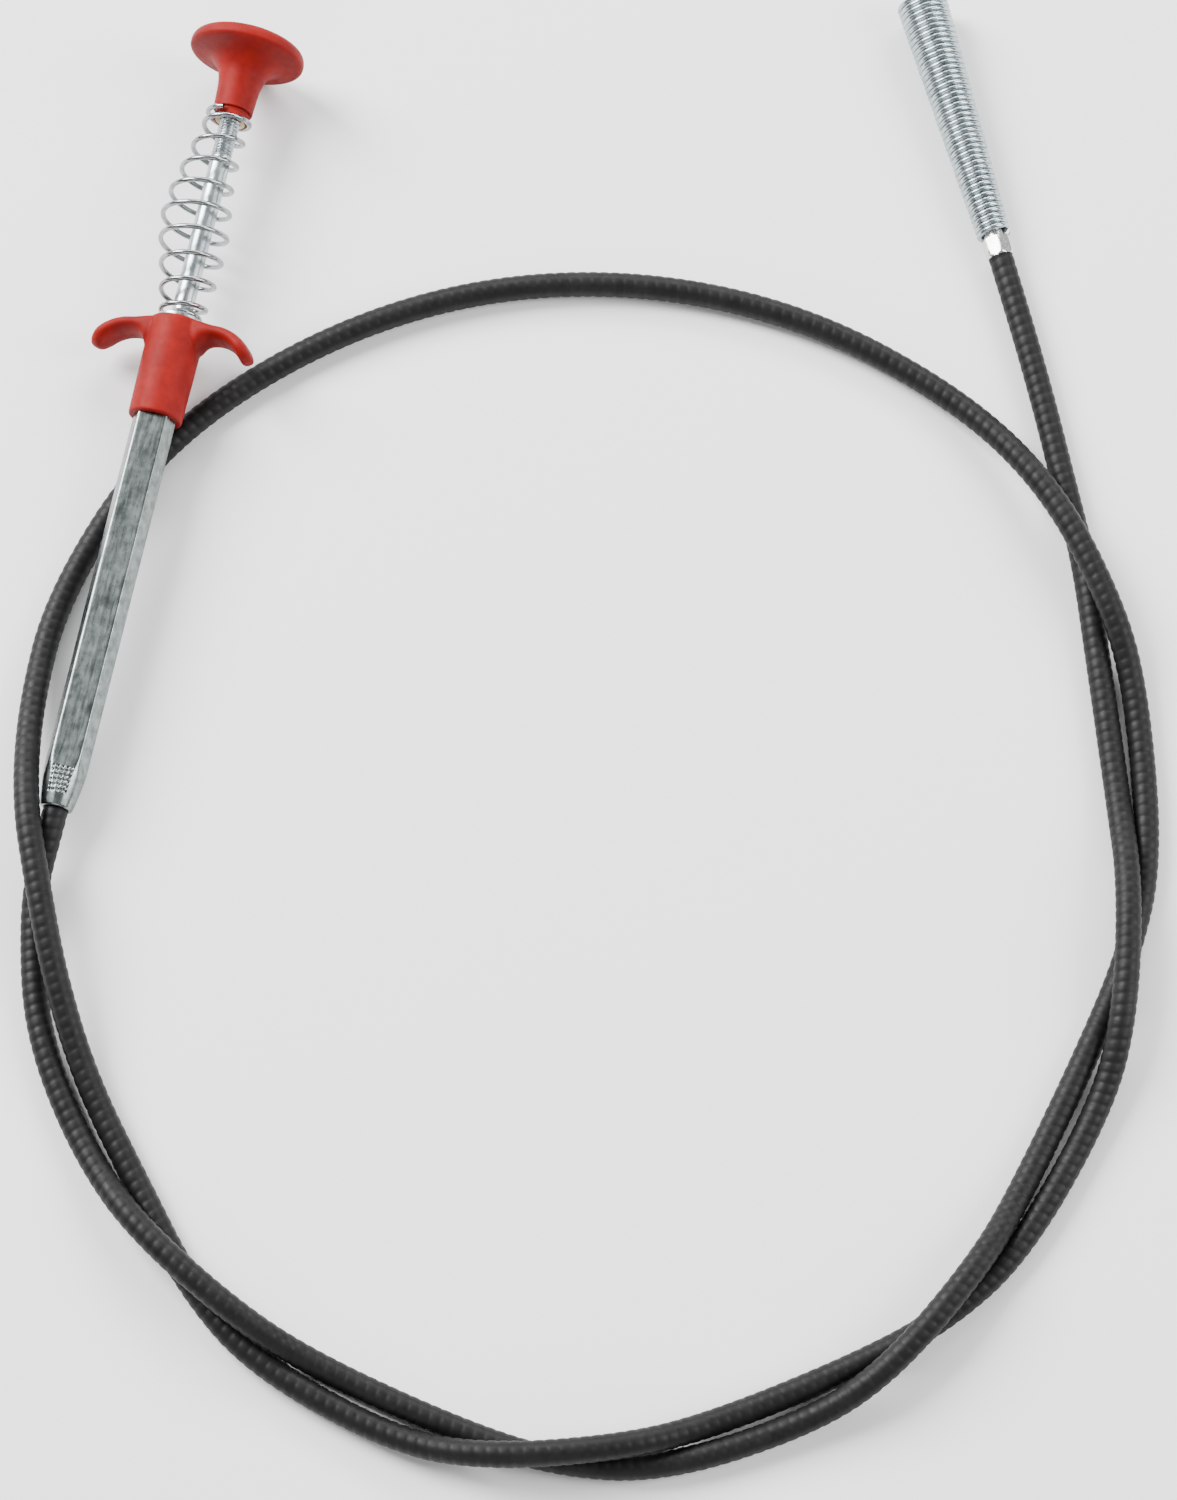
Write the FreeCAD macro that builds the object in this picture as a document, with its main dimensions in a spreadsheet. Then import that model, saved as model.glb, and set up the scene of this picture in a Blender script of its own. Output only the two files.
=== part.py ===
import FreeCAD, Part
import math
import os

import Sketcher

# Hand drain auger: a spring-loaded plunger handle, a flexible cable about 1.46 m long that lies in a
# loop and a half on the floor, and a claw head whose four claws come out when the plunger is pushed.
# Millimetres. +Y runs along the handle towards the knob, +Z is up and Z = 0 is the floor.
# Two working axes carry the turned pieces. The handle's stations are counted from the cable end of
# the guide tube, the head's from the cable end of its ferrule.

SIZES = {
    # handle stations, counted from the cable end of the guide tube
    "crimp_top": 10.6,
    "grip_bottom": 97.7,
    "tube_top": 116.0,
    "grip_top": 122.7,
    "washer_top": 123.5,
    "boss_bottom": 175.8,
    "neck_bottom": 178.4,
    "neck_top": 185.5,
    "flare_low": 188.8,
    "flare_high": 191.0,
    "disc_underside": 192.6,
    "rim_station": 194.3,
    "disc_top": 196.0,
    "palm_top": 197.9,
    "insert_top": 190.0,
    # handle radii
    "tube_corner_radius": 5.2,
    "tube_bore_radius": 3.3,
    "crimp_end_radius": 3.7,
    "crimp_rise_radius": 5.3,
    "grip_radius": 6.75,
    "bush_radius": 4.6,
    "bush_bore_radius": 2.7,
    "washer_radius": 5.6,
    "washer_bore_radius": 2.8,
    "boss_radius": 4.1,
    "neck_radius": 5.0,
    "flare_low_radius": 6.2,
    "flare_high_radius": 8.6,
    "rim_ring_radius": 12.2,
    "rim_round_radius": 1.8,
    "palm_flat_radius": 9.5,
    "insert_radius": 3.6,
    # plunger rod and what is on it
    "rod_radius": 2.5,
    "rod_bottom": 99.5,
    "rod_length": 90.5,
    "stop_bottom": 113.0,
    "stop_height": 2.8,
    "stop_radius": 3.1,
    "wire_radius": 0.9,
    "crimp_sleeve_bottom": 89.5,
    "crimp_sleeve_height": 10.0,
    "crimp_sleeve_radius": 2.3,
    "plunger_wire_bottom": 26.0,
    "plunger_wire_length": 73.5,
    # finger wings of the grip
    "wing_width": 9.5,
    "wing_bend_radius": 11.4,
    "wing_inner_radius": 8.8,
    "wing_bend_x": 10.2,
    "wing_bend_station": 110.4,
    "wing_sweep": 65.0,
    "wing_thickness": 2.6,
    "wing_round_x": 15.2,
    "wing_round_radius": 4.75,
    # cable
    "jacket_radius": 3.0,
    "jacket_bore_radius": 2.4,
    "liner_radius": 2.2,
    "liner_bore_radius": 1.4,
    # claw head stations and radii, counted from the cable end of the ferrule
    "ferrule_corner_radius": 3.5,
    "ferrule_length": 4.9,
    "ferrule_socket": 4.0,
    "spigot_radius": 2.6,
    "spigot_length": 10.0,
    "spigot_bore_radius": 1.3,
    "head_length": 70.1,
    "coil_small_radius": 4.1,
    "coil_mouth_radius": 6.3,
    "coil_wire": 1.4,
    "carrier_radius": 1.9,
    "carrier_bottom": 43.8,
    "carrier_length": 7.0,
    "head_wire_bottom": 4.2,
    "head_wire_length": 45.0,
    "claw_width": 1.4,
    "claw_thickness": 0.5,
    "claw_root_station": 51.1,
}

CORE_SET_BACK = 3.6
COIL_TURNS = 45
CLAW_COUNT = 4
COIL_VALLEY = 0.35
SPRING_WIRE_RADIUS = 0.55
SPRING_TURNS = 8
SPRING_POINTS_PER_TURN = 10
SPRING_LOW_RADIUS = 4.3
SPRING_HIGH_RADIUS = 4.85
SPRING_SWELL = 3.4
SPRING_SWELL_POWER = 1.3
SPRING_LEAN = 2.2
SPRING_GAP = 0.03

# The handle lies with its knob's rim on the floor and its tube on the cable, so its axis dips
# towards the tube's end. The finger wings are turned about the axis, right one up.
HANDLE_DIP = 1.5
GRIP_ROLL = 12.0
# The head lies on its side on the floor, so its axis rises towards the wider mouth.
HEAD_FOOT = FreeCAD.Vector(188.0, 84.6, 3.95)
HEAD_POINT = FreeCAD.Vector(156.6, 147.3, 6.35)

# The cable's route along the floor, from inside the tube to inside the head's ferrule. Where one
# strand climbs over another it keeps its height at one point on each side of the crossing.
CABLE_ROUTE = [
    (0.0, -88.42, 9.18), (0.0, -102.91, 8.80), (-1.0, -117.0, 4.3), (2.0, -131.5, 3.0),
    (6.3, -145.5, 3.0), (14.0, -160.0, 3.0), (26.4, -176.2, 3.0), (41.6, -190.5, 9.4),
    (67.5, -205.1, 9.4), (87.0, -211.5, 3.0), (119.6, -218.9, 3.0), (143.2, -221.7, 3.0),
    (167.2, -218.2, 3.0), (197.7, -200.6, 3.0), (212.5, -186.0, 9.4), (226.8, -159.8, 9.4),
    (233.4, -140.3, 3.0), (242.8, -104.0, 3.0), (247.7, -80.5, 3.0), (248.6, -56.6, 3.0),
    (238.7, -17.7, 3.0), (228.9, 0.8, 9.4), (210.0, 26.5, 9.4), (184.5, 46.8, 3.0),
    (145.0, 60.2, 3.0), (103.0, 61.0, 3.0), (63.0, 49.8, 3.0), (28.0, 27.0, 3.0),
    (-0.5, -5.8, 3.0), (-13.2, -45.5, 3.0), (-12.6, -73.5, 5.5), (-7.2, -98.5, 12.5),
    (0.8, -118.0, 12.5), (9.5, -138.0, 9.5), (21.5, -159.0, 4.0), (39.2, -180.6, 3.0),
    (54.1, -198.7, 3.0), (73.1, -213.6, 3.0), (106.8, -224.0, 3.0), (128.3, -224.6, 9.4),
    (157.1, -216.3, 9.4), (175.0, -206.6, 3.0), (202.6, -188.1, 3.0), (220.7, -173.4, 3.0),
    (235.4, -154.1, 3.0), (247.8, -117.0, 3.0), (248.8, -95.5, 9.4), (244.7, -66.1, 9.4),
    (239.4, -45.9, 3.0), (227.9, -9.5, 3.0), (220.7, 13.0, 3.0), (212.6, 31.5, 3.0),
    (204.0, 51.5, 3.0), (194.27, 72.08, 3.47), (186.21, 88.18, 4.09),
]

# One claw at rest, as (radius, distance ahead of its root): a leg that stays close to the axis, an
# outward sweep behind the mouth and a hook turned back towards the axis.
CLAW_LINE = [(1.0, 0.3), (1.1, 9.5), (1.6, 13.5), (2.9, 16.8), (1.1, 17.3)]

doc = FreeCAD.newDocument("drain_auger")
sheet = doc.addObject("Spreadsheet::Sheet", "sizes")
for line, (alias, value) in enumerate(SIZES.items(), start=1):
    sheet.set(f"A{line}", alias)
    sheet.set(f"B{line}", str(value))
    sheet.setAlias(f"B{line}", alias)
doc.recompute()


def size(alias):
    """The value of a named cell of the sheet."""
    return float(sheet.get(alias))


# ---- working axes -----------------------------------------------------------------------------

dip = math.radians(HANDLE_DIP)
knob_rim_reach = size("rim_ring_radius") * math.cos(dip) + size("rim_round_radius")
half_handle = size("palm_top") / 2
tube_end_height = knob_rim_reach - size("rim_station") * math.sin(dip)
HANDLE = FreeCAD.Placement(
    FreeCAD.Vector(0, -half_handle * math.cos(dip), tube_end_height),
    FreeCAD.Rotation(FreeCAD.Vector(1, 0, 0), HANDLE_DIP - 90),
)
HEAD = FreeCAD.Placement(
    HEAD_FOOT,
    FreeCAD.Rotation(FreeCAD.Vector(0, 0, 1), HEAD_POINT.sub(HEAD_FOOT)),
)


def along(axis, station, turn=0.0):
    """The placement at a station of a working axis, turned about that axis by some degrees."""
    step = FreeCAD.Placement(
        FreeCAD.Vector(0, 0, station),
        FreeCAD.Rotation(FreeCAD.Vector(0, 0, 1), turn),
    )
    return axis.multiply(step)


# ---- builders for pieces ----------------------------------------------------------------------


def cylinder(name, radius, height, placement):
    """A round bar whose radius and height are cells of the sheet."""
    bar = doc.addObject("Part::Cylinder", name)
    bar.setExpression("Radius", f"sizes.{radius}")
    bar.setExpression("Height", f"sizes.{height}")
    bar.Placement = placement
    return bar


def hexagon(name, corner_radius, height, placement):
    """A hexagonal bar whose corner radius and height are cells of the sheet."""
    bar = doc.addObject("Part::Prism", name)
    bar.Polygon = 6
    bar.setExpression("Circumradius", f"sizes.{corner_radius}")
    bar.setExpression("Height", f"sizes.{height}")
    bar.Placement = placement
    return bar


def cut(label, base, tool):
    """A boolean cut that becomes a sub-part."""
    piece = doc.addObject("Part::Cut", label)
    piece.Base = base
    piece.Tool = tool
    piece.Label = label
    return piece


def fuse(name, pieces):
    """Several solids joined into one."""
    whole = doc.addObject("Part::MultiFuse", name)
    whole.Shapes = pieces
    return whole


def turned(name, corners, placement):
    """A body turned about its local Z from an outline of (radius, station) cells.

    A radius of None is a corner on the axis, and a station of None is a corner at station zero.
    """
    body = doc.addObject("PartDesign::Body", name)
    body.Label = name
    plane = next(item for item in body.Origin.OriginFeatures if item.Role == "XZ_Plane")
    outline = body.newObject("Sketcher::SketchObject", name + "_outline")
    outline.AttachmentSupport = [(plane, "")]
    outline.MapMode = "FlatFace"
    points = []
    for radius, station in corners:
        reach = 0.0 if radius is None else size(radius)
        height = 0.0 if station is None else size(station)
        points.append(FreeCAD.Vector(reach, height, 0))
    count = len(points)
    for index in range(count):
        outline.addGeometry(Part.LineSegment(points[index], points[(index + 1) % count]))
    for index in range(count):
        outline.addConstraint(Sketcher.Constraint("Coincident", index, 2, (index + 1) % count, 1))
    for index, (radius, station) in enumerate(corners):
        if radius is None:
            outline.addConstraint(Sketcher.Constraint("PointOnObject", index, 1, -2))
        else:
            spot = Sketcher.Constraint("DistanceX", -1, 1, index, 1, points[index].x)
            number = outline.addConstraint(spot)
            outline.setExpression(f"Constraints[{number}]", f"sizes.{radius}")
        if station is None:
            outline.addConstraint(Sketcher.Constraint("PointOnObject", index, 1, -1))
        else:
            spot = Sketcher.Constraint("DistanceY", -1, 1, index, 1, points[index].y)
            number = outline.addConstraint(spot)
            outline.setExpression(f"Constraints[{number}]", f"sizes.{station}")
    spin = body.newObject("PartDesign::Revolution", name + "_turned")
    spin.Profile = outline
    spin.ReferenceAxis = (outline, ["V_Axis"])
    spin.Angle = 360.0
    body.Placement = placement
    return body


def sleeve(name, bore, radius, bottom, top, axis):
    """A turned tube between two stations of a working axis."""
    return turned(name, [(bore, bottom), (radius, bottom), (radius, top), (bore, top)], axis)


def bent_path(points, share=0.45, start=0.0):
    """Straight runs joined by tangent arcs, as a wire, with the arcs' radii.

    Each arc takes the same share of the shorter run beside it. start moves the wire's first point
    along the first run.
    """
    spots = [FreeCAD.Vector(*point) for point in points]
    first_run = spots[1].sub(spots[0]).normalize()
    last = spots[0].add(first_run.multiply(start))
    edges = []
    radii = []
    for before, corner, after in zip(spots, spots[1:], spots[2:]):
        back = before.sub(corner)
        ahead = after.sub(corner)
        reach = share * min(back.Length, ahead.Length)
        back.normalize()
        ahead.normalize()
        half_turn = (math.pi - back.getAngle(ahead)) / 2
        radius = reach / math.tan(half_turn)
        entry = corner.add(FreeCAD.Vector(back).multiply(reach))
        leave = corner.add(FreeCAD.Vector(ahead).multiply(reach))
        inward = back.add(ahead).normalize()
        depth = radius / math.cos(half_turn) - radius
        middle = corner.add(inward.multiply(depth))
        edges.append(Part.LineSegment(last, entry).toShape())
        edges.append(Part.Arc(entry, middle, leave).toShape())
        radii.append(radius)
        last = leave
    edges.append(Part.LineSegment(last, spots[-1]).toShape())
    return Part.Wire(edges), radii


def swept(label, path, profile):
    """A Part::Feature that holds one closed profile carried along a path."""
    piece = doc.addObject("Part::Feature", label)
    piece.Label = label
    piece.Shape = path.makePipeShell([profile], True, False)
    return piece


def ring_at_start(path, radius):
    """A circle across the start of a path."""
    edge = path.Edges[0]
    start = edge.valueAt(edge.FirstParameter)
    direction = edge.tangentAt(edge.FirstParameter)
    return Part.Wire([Part.Circle(start, direction, radius).toShape()])


def cable_layer(label, outer, bore, start=0.0):
    """One concentric layer of the cable, solid when bore is None."""
    path, radii = bent_path(CABLE_ROUTE, start=start)
    section = Part.Face(ring_at_start(path, size(outer)))
    if bore is not None:
        section = section.cut(Part.Face(ring_at_start(path, size(bore)))).Faces[0]
    piece = doc.addObject("Part::Feature", label)
    piece.Label = label
    piece.Shape = path.makePipe(section)
    expected = section.Area * path.Length
    print(f"{label}: volume {piece.Shape.Volume:.0f}, section times length {expected:.0f}")
    return piece, path, radii


# ---- handle -----------------------------------------------------------------------------------


def guide_tube():
    """Hexagonal tube, flat side up, swaged round onto the cable at its lower end."""
    bar = hexagon("tube_bar", "tube_corner_radius", "tube_top", HANDLE)
    swage = turned(
        "tube_swage",
        [(None, None), ("crimp_end_radius", None), ("crimp_rise_radius", "crimp_top"),
         ("crimp_rise_radius", "tube_top"), (None, "tube_top")],
        HANDLE,
    )
    bore = turned(
        "tube_bore",
        [(None, None), ("jacket_radius", None), ("jacket_radius", "crimp_top"),
         ("tube_bore_radius", "crimp_top"), ("tube_bore_radius", "tube_top"), (None, "tube_top")],
        HANDLE,
    )
    shaped = doc.addObject("Part::MultiCommon", "tube_shaped")
    shaped.Shapes = [bar, swage]
    return cut("guide_tube", shaped, bore)


def finger_wing(side, turn):
    """One finger wing: a flat strap bent down towards the tube, with a round end."""
    axis = along(HANDLE, 0, turn)
    across = FreeCAD.Rotation(FreeCAD.Vector(1, 0, 0), 90)
    half_width = size("wing_width") / 2
    upright = FreeCAD.Rotation()
    bend_spot = FreeCAD.Vector(size("wing_bend_x"), half_width, size("wing_bend_station"))
    bend_place = axis.multiply(FreeCAD.Placement(bend_spot, across))
    start_turn = FreeCAD.Rotation(FreeCAD.Vector(0, 0, 1), 90 - size("wing_sweep"))
    outer = cylinder(f"{side}_bend", "wing_bend_radius", "wing_width", bend_place)
    outer.setExpression("Angle", "sizes.wing_sweep")
    outer.Placement = bend_place.multiply(FreeCAD.Placement(FreeCAD.Vector(), start_turn))
    inner = cylinder(f"{side}_bend_bore", "wing_inner_radius", "wing_width", bend_place)
    bend = cut(f"{side}_bend_strap", outer, inner)
    flat = doc.addObject("Part::Box", f"{side}_flat")
    flat.setExpression("Length", "sizes.wing_bend_x")
    flat.setExpression("Width", "sizes.wing_width")
    flat.setExpression("Height", "sizes.wing_thickness")
    flat_station = size("wing_bend_station") + size("wing_inner_radius")
    flat_corner = FreeCAD.Vector(0, -half_width, flat_station)
    flat.Placement = axis.multiply(FreeCAD.Placement(flat_corner, upright))
    end_centre = FreeCAD.Vector(size("wing_round_x"), 0, 0)
    end_place = axis.multiply(FreeCAD.Placement(end_centre, upright))
    end = cylinder(f"{side}_round_end", "wing_round_radius", "grip_top", end_place)
    straight = doc.addObject("Part::Box", f"{side}_straight_sides")
    straight.setExpression("Length", "sizes.wing_round_x")
    straight.setExpression("Width", "sizes.wing_width")
    straight.setExpression("Height", "sizes.grip_top")
    plan_corner = FreeCAD.Vector(0, -half_width, 0)
    straight.Placement = axis.multiply(FreeCAD.Placement(plan_corner, upright))
    wing = doc.addObject("Part::MultiCommon", f"{side}_wing")
    wing.Shapes = [fuse(f"{side}_strap", [bend, flat]), fuse(f"{side}_plan", [end, straight])]
    return wing


def finger_grip():
    """Moulded grip: a sleeve over the tube's upper end with two finger wings."""
    body = turned(
        "grip_sleeve",
        [(None, "grip_bottom"), ("grip_radius", "grip_bottom"),
         ("grip_radius", "grip_top"), (None, "grip_top")],
        HANDLE,
    )
    right = finger_wing("right", -GRIP_ROLL)
    left = finger_wing("left", 180 - GRIP_ROLL)
    socket = hexagon("grip_socket", "tube_corner_radius", "tube_top", HANDLE)
    bush_seat = cylinder("grip_bush_seat", "bush_radius", "palm_top", HANDLE)
    return cut(
        "finger_grip",
        fuse("grip_blank", [body, right, left]),
        fuse("grip_hollow", [socket, bush_seat]),
    )


def spring_point(angle):
    """Centre of the return spring's wire at an angle counted from its lower end.

    One turn lies closed at each end. Between them the coil swells like a barrel and leans a
    little to one side at its middle.
    """
    closed_pitch = 2 * SPRING_WIRE_RADIUS + SPRING_GAP
    low = size("washer_top") + SPRING_WIRE_RADIUS + SPRING_GAP
    high = size("neck_bottom") - SPRING_WIRE_RADIUS - SPRING_GAP
    turn = angle / (2 * math.pi)
    progress = min(max((turn - 1) / SPRING_TURNS, 0.0), 1.0)
    closed_turns = min(turn, 1.0) + max(turn - 1 - SPRING_TURNS, 0.0)
    climb = high - low - 2 * closed_pitch
    station = low + closed_pitch * closed_turns + climb * progress
    bulge = math.sin(math.pi * progress)
    end_radius = SPRING_LOW_RADIUS + (SPRING_HIGH_RADIUS - SPRING_LOW_RADIUS) * progress
    radius = end_radius + SPRING_SWELL * bulge ** SPRING_SWELL_POWER
    lean = -SPRING_LEAN * bulge ** 2
    return FreeCAD.Vector(lean + radius * math.cos(angle), radius * math.sin(angle), station)


def return_spring():
    """Barrel-shaped return spring between the grip's washer and the knob's neck."""
    turns = SPRING_TURNS + 2
    count = turns * SPRING_POINTS_PER_TURN
    step = 2 * math.pi / SPRING_POINTS_PER_TURN
    points = [spring_point(index * step) for index in range(count + 1)]
    curve = Part.BSplineCurve()
    curve.interpolate(points)
    path = Part.Wire([curve.toShape()])
    piece = doc.addObject("Part::Feature", "return_spring")
    piece.Label = "return_spring"
    piece.Shape = path.makePipeShell([ring_at_start(path, SPRING_WIRE_RADIUS)], True, True)
    piece.Placement = HANDLE
    return piece


def plunger_knob():
    """Mushroom knob with a rounded rim, a flared underside and a boss that centres the spring."""
    core = turned(
        "knob_core",
        [("insert_radius", "boss_bottom"), ("boss_radius", "boss_bottom"),
         ("boss_radius", "neck_bottom"), ("neck_radius", "neck_bottom"),
         ("neck_radius", "neck_top"), ("flare_low_radius", "flare_low"),
         ("flare_high_radius", "flare_high"), ("rim_ring_radius", "disc_underside"),
         ("rim_ring_radius", "disc_top"), ("palm_flat_radius", "palm_top"),
         (None, "palm_top"), (None, "insert_top"), ("insert_radius", "insert_top")],
        HANDLE,
    )
    rim = doc.addObject("Part::Torus", "knob_rim")
    rim.setExpression("Radius1", "sizes.rim_ring_radius")
    rim.setExpression("Radius2", "sizes.rim_round_radius")
    rim.Placement = along(HANDLE, size("rim_station"))
    knob = fuse("plunger_knob", [core, rim])
    knob.Label = "plunger_knob"
    return knob


# ---- claw head --------------------------------------------------------------------------------


def head_ferrule():
    """Hexagonal crimp ferrule on the cable's end, with a spigot inside the coil."""
    nut = hexagon("ferrule_nut", "ferrule_corner_radius", "ferrule_length", HEAD)
    spigot = cylinder("ferrule_spigot", "spigot_radius", "spigot_length", HEAD)
    socket = cylinder("ferrule_cable_socket", "jacket_radius", "ferrule_socket", HEAD)
    wire_way = cylinder("ferrule_wire_way", "spigot_bore_radius", "spigot_length", HEAD)
    return cut(
        "head_ferrule",
        fuse("ferrule_blank", [nut, spigot]),
        fuse("ferrule_hollow", [socket, wire_way]),
    )


def claw_coil():
    """Close-wound conical coil, drawn as a ribbed sleeve that widens towards its mouth."""
    foot = size("ferrule_length")
    rise = size("head_length") - foot
    growth = size("coil_mouth_radius") - size("coil_small_radius")

    def outer_radius(share):
        return size("coil_small_radius") + growth * share

    edges = []
    for turn in range(COIL_TURNS):
        low = turn / COIL_TURNS
        high = (turn + 1) / COIL_TURNS
        middle = (low + high) / 2
        start = FreeCAD.Vector(outer_radius(low) - COIL_VALLEY, 0, foot + rise * low)
        crest = FreeCAD.Vector(outer_radius(middle), 0, foot + rise * middle)
        end = FreeCAD.Vector(outer_radius(high) - COIL_VALLEY, 0, foot + rise * high)
        edges.append(Part.Arc(start, crest, end).toShape())
    top_outer = FreeCAD.Vector(outer_radius(1) - COIL_VALLEY, 0, foot + rise)
    top_inner = FreeCAD.Vector(outer_radius(1) - size("coil_wire"), 0, foot + rise)
    low_inner = FreeCAD.Vector(outer_radius(0) - size("coil_wire"), 0, foot)
    low_outer = FreeCAD.Vector(outer_radius(0) - COIL_VALLEY, 0, foot)
    edges.append(Part.LineSegment(top_outer, top_inner).toShape())
    edges.append(Part.LineSegment(top_inner, low_inner).toShape())
    edges.append(Part.LineSegment(low_inner, low_outer).toShape())
    face = Part.Face(Part.Wire(edges))
    piece = doc.addObject("Part::Feature", "claw_coil")
    piece.Label = "claw_coil"
    piece.Shape = face.revolve(FreeCAD.Vector(), FreeCAD.Vector(0, 0, 1), 360)
    piece.Placement = HEAD
    return piece


def claw(number):
    """One spring-steel claw, a flat strip bent to a hook at its end."""
    line = [(radius, 0.0, size("claw_root_station") + ahead) for radius, ahead in CLAW_LINE]
    path = bent_path(line, share=0.4)[0]
    half_width = size("claw_width") / 2
    half_thickness = size("claw_thickness") / 2
    root = path.Edges[0]
    start = root.valueAt(root.FirstParameter)
    outward = FreeCAD.Vector(1, 0, 0).multiply(half_thickness)
    sideways = FreeCAD.Vector(0, 1, 0).multiply(half_width)
    corners = [start + outward + sideways, start - outward + sideways,
               start - outward - sideways, start + outward - sideways]
    profile = Part.makePolygon(corners + corners[:1])
    piece = swept(f"claw_{number}", path, profile)
    piece.Placement = along(HEAD, 0, (number - 1) * 360 / CLAW_COUNT)
    return piece


# ---- the assembly -----------------------------------------------------------------------------

jacket, jacket_path, jacket_radii = cable_layer("cable_jacket", "jacket_radius", "jacket_bore_radius")
liner = cable_layer("cable_liner", "liner_radius", "liner_bore_radius")[0]
core_wire = cable_layer("core_wire", "wire_radius", None, start=CORE_SET_BACK)[0]

subparts = [
    guide_tube(),
    finger_grip(),
    sleeve("guide_bush", "bush_bore_radius", "bush_radius", "tube_top", "grip_top", HANDLE),
    sleeve("spring_washer", "washer_bore_radius", "washer_radius", "grip_top", "washer_top", HANDLE),
    return_spring(),
    plunger_knob(),
    sleeve("knob_insert", "rod_radius", "insert_radius", "boss_bottom", "insert_top", HANDLE),
    cylinder("plunger_rod", "rod_radius", "rod_length", along(HANDLE, size("rod_bottom"))),
    cut(
        "rod_stop",
        cylinder("stop_blank", "stop_radius", "stop_height", along(HANDLE, size("stop_bottom"))),
        cylinder("stop_bore", "rod_radius", "stop_height", along(HANDLE, size("stop_bottom"))),
    ),
    cut(
        "wire_crimp",
        cylinder("crimp_blank", "crimp_sleeve_radius", "crimp_sleeve_height",
                 along(HANDLE, size("crimp_sleeve_bottom"))),
        cylinder("crimp_bore", "wire_radius", "crimp_sleeve_height",
                 along(HANDLE, size("crimp_sleeve_bottom"))),
    ),
    cylinder("plunger_wire", "wire_radius", "plunger_wire_length",
             along(HANDLE, size("plunger_wire_bottom"))),
    jacket,
    liner,
    core_wire,
    head_ferrule(),
    claw_coil(),
    cut(
        "claw_carrier",
        cylinder("carrier_blank", "carrier_radius", "carrier_length",
                 along(HEAD, size("carrier_bottom"))),
        cylinder("carrier_bore", "wire_radius", "carrier_length",
                 along(HEAD, size("carrier_bottom"))),
    ),
    cylinder("head_wire", "wire_radius", "head_wire_length", along(HEAD, size("head_wire_bottom"))),
]
subparts += [claw(number) for number in range(1, CLAW_COUNT + 1)]

doc.recompute()

for item in doc.Objects:
    if "Invalid" in item.State or "Error" in item.State:
        raise RuntimeError(f"{item.Name} failed: {item.State}")
for piece in subparts:
    if piece.Shape.isNull() or not piece.Shape.isValid():
        raise RuntimeError(f"{piece.Label} is not a valid shape")

turn_rows = ", ".join(f"{radius:.0f}" for radius in jacket_radii)
print("cable arc radii:", turn_rows)
print("cable length", round(jacket_path.Length, 1), "smallest arc", round(min(jacket_radii), 1))

os.makedirs("parts", exist_ok=True)
for piece in subparts:
    solids = len(piece.Shape.Solids)
    print(f"{piece.Label:16s} solids {solids}  volume {piece.Shape.Volume:9.1f}")
    piece.Shape.exportStep(f"parts/{piece.Label}.step")
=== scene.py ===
"""Looks of a hand drain auger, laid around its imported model: plunger handle, cable and claw head.

Everything is in metres in the model's own frame: +Y along the handle towards the knob, +Z up, and
the floor at Z = 0. Sizes are written in millimetres and scaled once, when points are placed.
"""
import logging
import math
from dataclasses import dataclass
from enum import Enum
from functools import cache

import bpy
import numpy as np
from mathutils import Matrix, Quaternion, Vector


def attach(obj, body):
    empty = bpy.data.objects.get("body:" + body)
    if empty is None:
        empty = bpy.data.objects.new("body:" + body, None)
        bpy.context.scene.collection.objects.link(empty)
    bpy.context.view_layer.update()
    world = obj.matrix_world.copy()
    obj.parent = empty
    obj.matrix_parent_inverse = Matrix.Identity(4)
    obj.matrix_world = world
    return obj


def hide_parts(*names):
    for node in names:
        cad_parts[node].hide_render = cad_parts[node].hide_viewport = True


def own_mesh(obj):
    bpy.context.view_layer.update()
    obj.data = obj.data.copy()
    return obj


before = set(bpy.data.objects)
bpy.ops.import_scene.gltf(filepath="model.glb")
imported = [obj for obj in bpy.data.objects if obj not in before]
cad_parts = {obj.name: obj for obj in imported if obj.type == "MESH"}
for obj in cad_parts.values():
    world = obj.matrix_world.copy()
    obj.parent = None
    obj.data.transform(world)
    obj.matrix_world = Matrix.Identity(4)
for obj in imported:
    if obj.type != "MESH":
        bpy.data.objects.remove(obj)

LOG = logging.getLogger("drain_auger")
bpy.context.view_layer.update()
Triple = tuple[float, float, float]
Piece = bpy.types.Object
Socket = bpy.types.NodeSocket
MM = 0.001
CM_PER_METRE = 100
FULL_TURN = 2 * math.pi
CLAWS = ("claw_1", "claw_2", "claw_3", "claw_4")

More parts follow.
